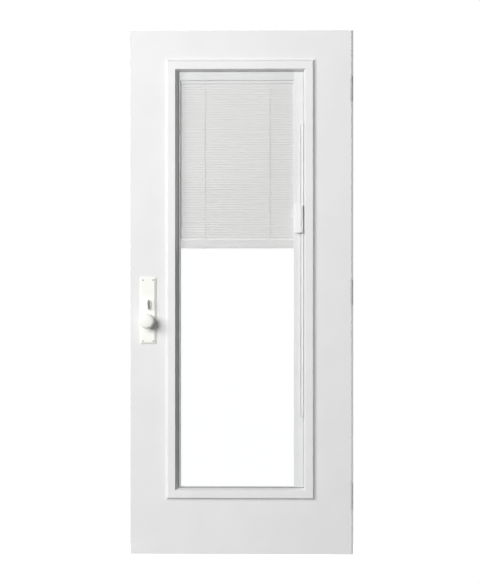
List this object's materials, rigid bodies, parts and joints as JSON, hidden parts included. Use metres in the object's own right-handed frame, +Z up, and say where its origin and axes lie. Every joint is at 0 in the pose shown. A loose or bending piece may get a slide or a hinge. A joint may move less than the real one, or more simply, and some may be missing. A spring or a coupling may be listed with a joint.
{
  "type": "entry door with integral blind",
  "caption": "White entry door slab with a full glass lite, a venetian blind sealed between the panes, a slide handle on the glass, knobs and a thumb turn.",
  "frame": {"origin": "on the hinge edge's flat face, in the middle of its thickness, at the foot of the door", "axes": "+X out of the hinge edge, -Y into the room, +Z up"},
  "size_m": [0.864, 0.1564, 2.013],
  "materials": {
    "door_skin": "smooth white painted fibreglass skin",
    "stile_wood": "planed softwood, painted white at the edges",
    "foam": "rigid polyurethane foam",
    "lite_frame": "moulded white plastic, satin",
    "glass": "clear float glass",
    "spacer": "mill finish aluminium spacer bar",
    "cassette": "white coated aluminium",
    "slat": "white coated aluminium slat",
    "cord": "white polyester ladder cord",
    "track": "white extruded plastic",
    "handle": "white moulded plastic",
    "lock_trim": "cream white enamelled metal",
    "steel": "satin plated steel",
    "brass": "satin brass cylinder"
  },
  "bodies": {
    "door": {"hinge_stile": "stile_wood", "lock_stile": "stile_wood", "lock_block": "stile_wood", "top_rail": "stile_wood", "bottom_rail": "stile_wood", "foam_core": "foam", "interior_skin": "door_skin", "exterior_skin": "door_skin", "lock_case": "steel", "lock_faceplate": "steel", "latch_bolt": "steel", "dead_bolt": "steel", "interior_lite_frame": "lite_frame", "exterior_lite_frame": "lite_frame", "interior_glass": "glass", "exterior_glass": "glass", "spacer_bottom": "spacer", "spacer_top": "spacer", "spacer_left": "spacer", "spacer_right": "spacer", "blind_headrail": "cassette", "blind_left_rail": "cassette", "blind_right_channel": "cassette", "blind_sill": "cassette", "blind_slats": "slat", "gathered_slats": "slat", "blind_bottom_rail": "cassette", "ladder_cords": "cord", "operator_rail": "track", "interior_escutcheon": "lock_trim", "exterior_escutcheon": "lock_trim", "thumb_turn_rose": "lock_trim", "key_cylinder": "brass"},
    "knobs": {"interior_knob": "lock_trim", "exterior_knob": "lock_trim", "knob_spindle": "steel"},
    "thumb_turn": {"thumb_turn": "lock_trim"},
    "blind_operator": {"operator_handle": "handle"}
  },
  "joints": [
    {"name": "knob_turn", "type": "hinge", "parent": "door", "child": "knobs", "pos_m": [-0.794, 0, 0.8967], "axis": [0, 1, 0], "range_deg": [-60, 60], "stiffness_Nm_per_rad": 0.4},
    {"name": "dead_bolt_turn", "type": "hinge", "parent": "door", "child": "thumb_turn", "pos_m": [-0.794, 0, 0.961], "axis": [0, -1, 0], "range_deg": [0, 90]},
    {"name": "operator_slide", "type": "slide", "parent": "door", "child": "blind_operator", "axis": [0, 0, 1], "range_m": [-0.7, 0.31]}
  ]
}
